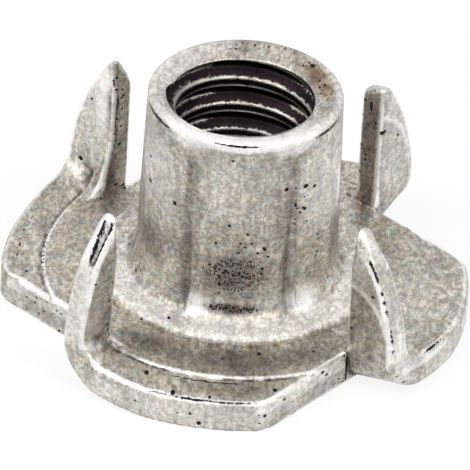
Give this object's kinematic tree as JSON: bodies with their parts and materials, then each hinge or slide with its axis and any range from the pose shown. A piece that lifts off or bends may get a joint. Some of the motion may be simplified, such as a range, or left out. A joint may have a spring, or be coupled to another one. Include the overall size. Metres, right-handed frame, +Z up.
{
  "type": "tee nut",
  "caption": "Pressed steel tee nut: round flange with prongs bent up from its rim and a drawn, fluted, internally threaded barrel.",
  "frame": {"origin": "centre of the flange's underside, on the thread's axis", "axes": "+Z up the barrel from the flange to its open mouth; the first cut that frees a prong faces 40 degrees clockwise from +X, seen from above"},
  "size_m": [0.0224, 0.0224, 0.0118],
  "materials": {
    "steel": "bare pressed steel, satin and finely pitted, edges worn bright, sheared edges darker"
  },
  "bodies": {
    "root": {"tee_nut": "steel"}
  },
  "joints": []
}
